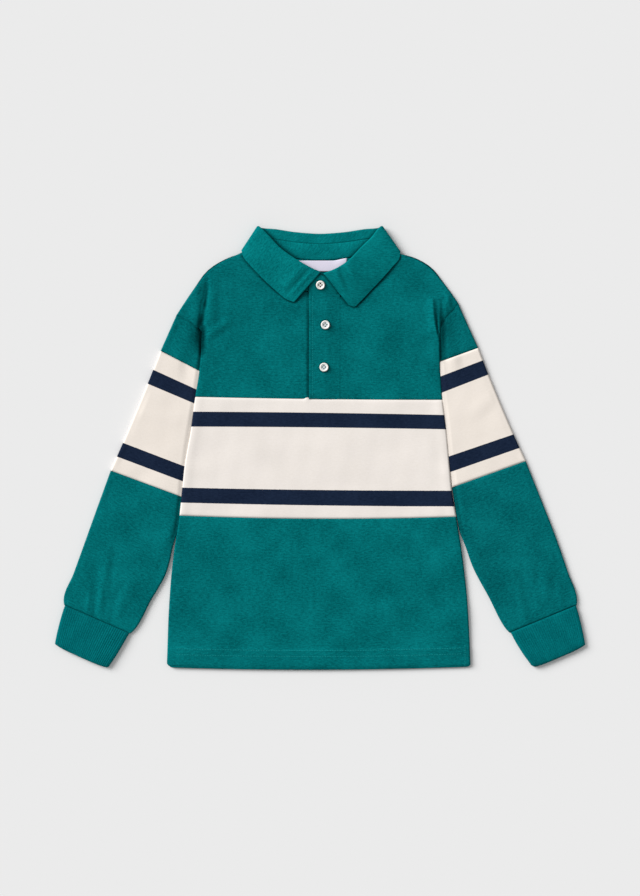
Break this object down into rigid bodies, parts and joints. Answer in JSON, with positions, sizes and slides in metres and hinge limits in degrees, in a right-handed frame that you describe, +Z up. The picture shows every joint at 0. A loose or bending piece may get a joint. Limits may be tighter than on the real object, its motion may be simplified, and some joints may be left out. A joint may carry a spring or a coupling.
{
  "type": "child's long-sleeved polo shirt",
  "caption": "Child's long-sleeved rugby-style polo shirt laid flat: green with a cream and navy striped band, folded collar, buttoned placket and ribbed cuffs.",
  "frame": {"origin": "middle of the laid shirt's box, on the surface it lies on", "axes": "+X to the wearer's left, along the width across both sleeves; +Y from hem to collar; +Z up out of the surface, from back to front of the shirt"},
  "size_m": [0.5828, 0.4873, 0.0132],
  "materials": {
    "green_jersey": "matt brushed jersey",
    "striped_jersey": "matt jersey, cream with two knitted-in navy stripes",
    "green_collar": "matt jersey",
    "green_rib": "matt rib knit",
    "label_cloth": "smooth woven tape",
    "button_pearl": "pearly polished plastic"
  },
  "bodies": {
    "root": {"back_upper": "green_jersey", "back_middle": "striped_jersey", "back_lower": "green_jersey", "front_upper_right": "green_jersey", "front_upper_left": "green_jersey", "front_middle": "striped_jersey", "front_lower": "green_jersey", "sleeve_right_upper": "green_jersey", "sleeve_right_middle": "striped_jersey", "sleeve_right_lower": "green_jersey", "sleeve_left_upper": "green_jersey", "sleeve_left_middle": "striped_jersey", "sleeve_left_lower": "green_jersey", "cuff_right": "green_rib", "cuff_left": "green_rib", "placket_under": "green_jersey", "placket_over": "green_jersey", "collar_stand": "green_collar", "collar_fall": "green_collar", "neck_label": "label_cloth", "button_1": "button_pearl", "button_2": "button_pearl", "button_3": "button_pearl"}
  },
  "joints": []
}
